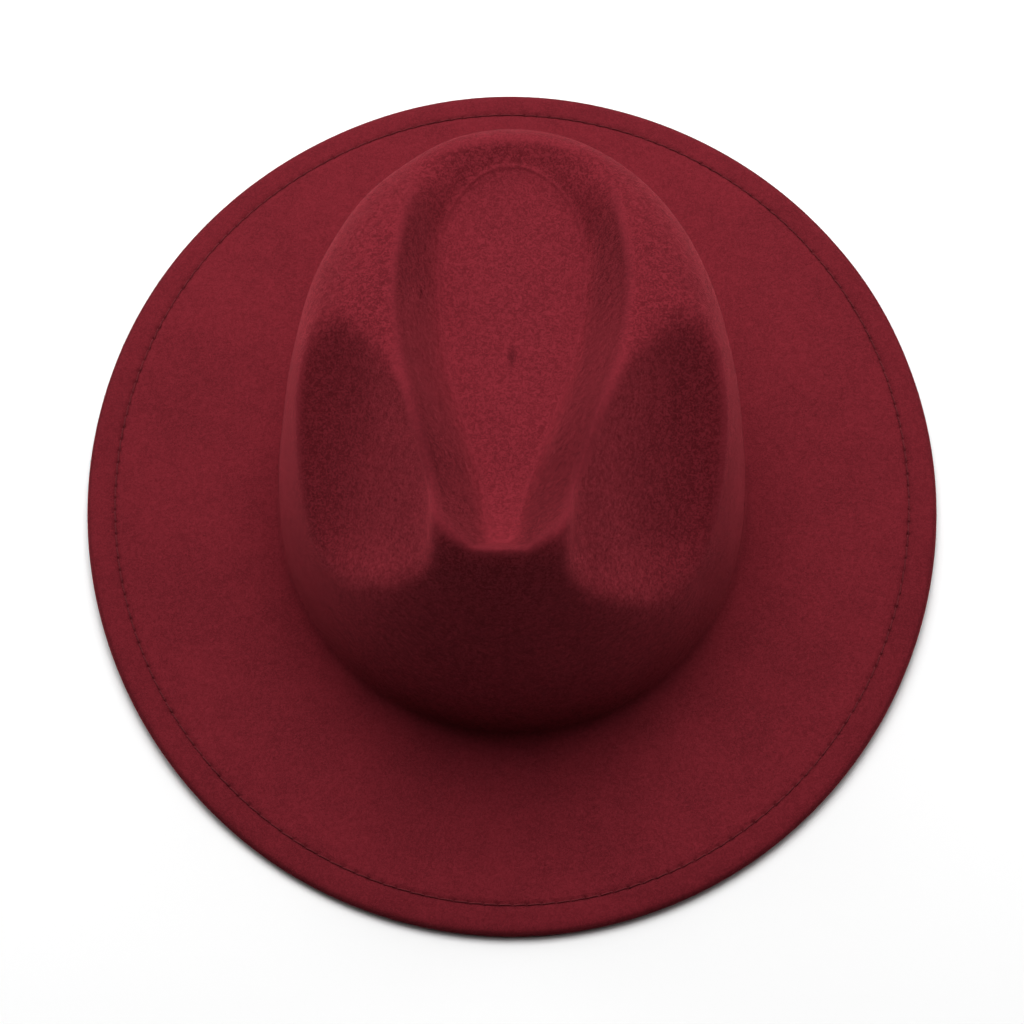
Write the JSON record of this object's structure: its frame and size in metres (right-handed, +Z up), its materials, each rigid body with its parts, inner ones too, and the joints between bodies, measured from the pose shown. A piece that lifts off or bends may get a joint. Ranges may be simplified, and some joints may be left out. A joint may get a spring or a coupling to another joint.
{
  "type": "felt fedora hat",
  "caption": "Wide-brimmed felt fedora with a tear-shaped dent in the crown, a pinch each side of the front, and a flat brim with a turned-under hem.",
  "frame": {"origin": "on the surface that the hat rests on, under the middle of the brim", "axes": "+Z up out of the crown, -Y the front of the hat with the two pinches, +X across it"},
  "size_m": [0.3138, 0.352, 0.1103],
  "materials": {
    "felt": "burgundy wool felt with a short soft nap, matt"
  },
  "bodies": {
    "root": {"felt_body": "felt"}
  },
  "joints": []
}
